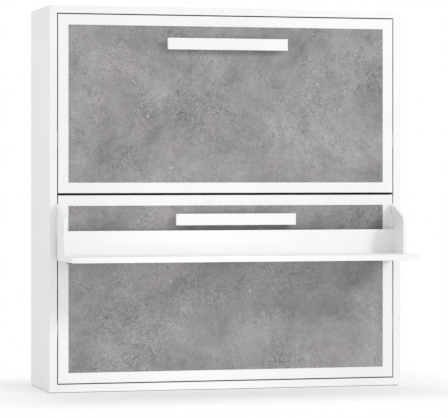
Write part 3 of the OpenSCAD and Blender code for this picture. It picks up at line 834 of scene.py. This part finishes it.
def back_screws(side_x):
    """A row of flush screws through the back panels into the middle rail."""
    rail_lo, rail_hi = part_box("mid_rail")
    back_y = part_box("lower_back_panel")[1].y
    heads = []
    for k in range(BACK_SCREW_N):
        x = (k / (BACK_SCREW_N - 1) - 0.5) * 2 * (side_x - BACK_SCREW_INSET)
        at = (x, back_y - BACK_SCREW_SUNK, (rail_lo.z + rail_hi.z) / 2)
        heads.append(button(at, (0, 1, 0), SCREW_R, BACK_SCREW_H))
    return heads


def make_screws():
    side_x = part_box("right_side")[0].x
    on_cabinet = []
    for bed in BEDS:
        fixed, moving = bed_screws(bed, side_x)
        on_cabinet += fixed
        new_piece(bed + "_bed_screws", moving, bed + "_bed", "steel")
    new_piece("cabinet_screws", on_cabinet + back_screws(side_x), "cabinet", "steel")


def make_covers():
    """Caps over the fittings that join the top and bottom panels to the sides."""
    lo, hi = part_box("bottom_panel")
    under_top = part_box("top_panel")[0].z
    covers = []
    for side in (-1, 1):
        for share in COVER_SHARES:
            x = side * (hi.x - COVER_INSET)
            y = lo.y + (hi.y - lo.y) * share
            covers.append(button((x, y, hi.z), (0, 0, 1), COVER_R, COVER_H, socket=False))
            covers.append(button((x, y, under_top), (0, 0, -1), COVER_R, COVER_H, socket=False))
    new_piece("fitting_covers", covers, "cabinet", "white_paint")


def make_plugs(bed):
    """Plastic plugs in the open ends of the frame's long tubes, a little inside the rim."""
    lo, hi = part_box(bed + "_frame_rails")
    y = (lo.y + hi.y) / 2
    bore_y = (hi.y - lo.y) / 2 - TUBE_WALL
    bore_z = TUBE_W / 2 - TUBE_WALL
    plugs = []
    for side in (-1, 1):
        for z in (lo.z + TUBE_W / 2, hi.z - TUBE_W / 2):
            rings = []
            for depth, inset in PLUG_RINGS:
                x = side * (hi.x - PLUG_BACK - depth)
                w, t = bore_y - inset, bore_z - inset
                ring = [(x, y - w, z - t), (x, y + w, z - t), (x, y + w, z + t), (x, y - w, z + t)]
                rings.append([Vector(p) for p in ring[::side]])
            plugs.append(loft(rings))
    new_piece(bed + "_tube_plugs", plugs, bed + "_bed", "black_plastic")


make_screws()
make_covers()
for bed_name in BEDS:
    make_plugs(bed_name)


# ---------------------------------------------------------------- studio
WORLD_LIGHT = 0.78        # strength of the white surroundings as a light
FLOOR_HALF = 60
FLOOR_WHITE = grey(0.9)
# The floor fades into the white background between these distances from the bed's box. The first lies inside
# the box, so the fade has begun at its edge.
FADE_START = -0.25
FADE_END = 0.6


def make_world():
    """White surroundings: the camera, reflections and see-through parts see them at full strength."""
    world = bpy.data.worlds.new("studio")
    bpy.context.scene.world = world
    world.use_nodes = True
    tree = world.node_tree
    back = tree.nodes["Background"]
    path = tree.nodes.new("ShaderNodeLightPath")
    seen = tree.nodes.new("ShaderNodeMath")
    seen.operation = "ADD"
    seen.use_clamp = True
    also = tree.nodes.new("ShaderNodeMath")
    also.operation = "ADD"
    tree.links.new(path.outputs["Is Camera Ray"], seen.inputs[0])
    tree.links.new(path.outputs["Is Glossy Ray"], also.inputs[0])
    tree.links.new(path.outputs["Is Transmission Ray"], also.inputs[1])
    tree.links.new(also.outputs[0], seen.inputs[1])
    level = tree.nodes.new("ShaderNodeMapRange")
    level.inputs["To Min"].default_value = WORLD_LIGHT
    level.inputs["To Max"].default_value = 1.0
    tree.links.new(seen.outputs[0], level.inputs["Value"])
    tree.links.new(level.outputs["Result"], back.inputs["Strength"])
    back.inputs["Color"].default_value = (1, 1, 1, 1)


def floor_material():
    """Matt and pale, and for the camera the further from the bed the more plain white."""
    look = Shader("floor", FLOOR_WHITE, roughness=0.6)
    look.bsdf.inputs["Specular IOR Level"].default_value = 0.2
    bed_corner = (cad_box[1].x, cad_box[1].y, 0)
    outside = look.vector_math("SUBTRACT", look.vector_math("ABSOLUTE", look.coords), bed_corner)
    outside = look.vector_math("MAXIMUM", outside, (0, 0, 0))
    far = look.ramp(look.vector_math("LENGTH", outside), FADE_START, FADE_END)
    path = look.node("ShaderNodeLightPath")
    white = look.node("ShaderNodeEmission")
    white.inputs["Strength"].default_value = 1.0
    mix = look.node("ShaderNodeMixShader")
    look.link(look.times(far, path.outputs["Is Camera Ray"]), mix.inputs["Fac"])
    look.link(look.bsdf.outputs["BSDF"], mix.inputs[1])
    look.link(white.outputs["Emission"], mix.inputs[2])
    look.link(mix.outputs["Shader"], look.tree.nodes["Material Output"].inputs["Surface"])
    return look.mat


def make_floor():
    mesh = bpy.data.meshes.new("floor")
    r = FLOOR_HALF
    mesh.from_pydata([(-r, -r, 0), (r, -r, 0), (r, r, 0), (-r, r, 0)], [], [(0, 1, 2, 3)])
    mesh.materials.append(floor_material())
    floor = bpy.data.objects.new("floor", mesh)
    bpy.context.scene.collection.objects.link(floor)


def make_lamp(name, at, target, size, power, spread=180):
    """A round soft lamp of that size, with its power in watts and its spread in degrees."""
    lamp = bpy.data.lights.new(name, "AREA")
    lamp.shape = "DISK"
    lamp.size = size
    lamp.energy = power
    lamp.spread = math.radians(spread)
    obj = bpy.data.objects.new(name, lamp)
    obj.visible_camera = False
    obj.location = at
    obj.rotation_euler = (Vector(target) - Vector(at)).to_track_quat("-Z", "Y").to_euler()
    bpy.context.scene.collection.objects.link(obj)


make_world()
make_floor()
make_lamp("key", at=(9.53, -9.53, 7.68), target=(0, 0, 1.1), size=3.2, power=660)
make_lamp("left", at=(-11.67, -2.06, 2.98), target=(0, 0, 1.1), size=4.0, power=85)
make_lamp("low", at=(-0.3, -2.8, 0.3), target=(-0.2, 0, 0.28), size=1.2, power=1.0, spread=38)
bpy.context.scene.view_settings.view_transform = "Standard"
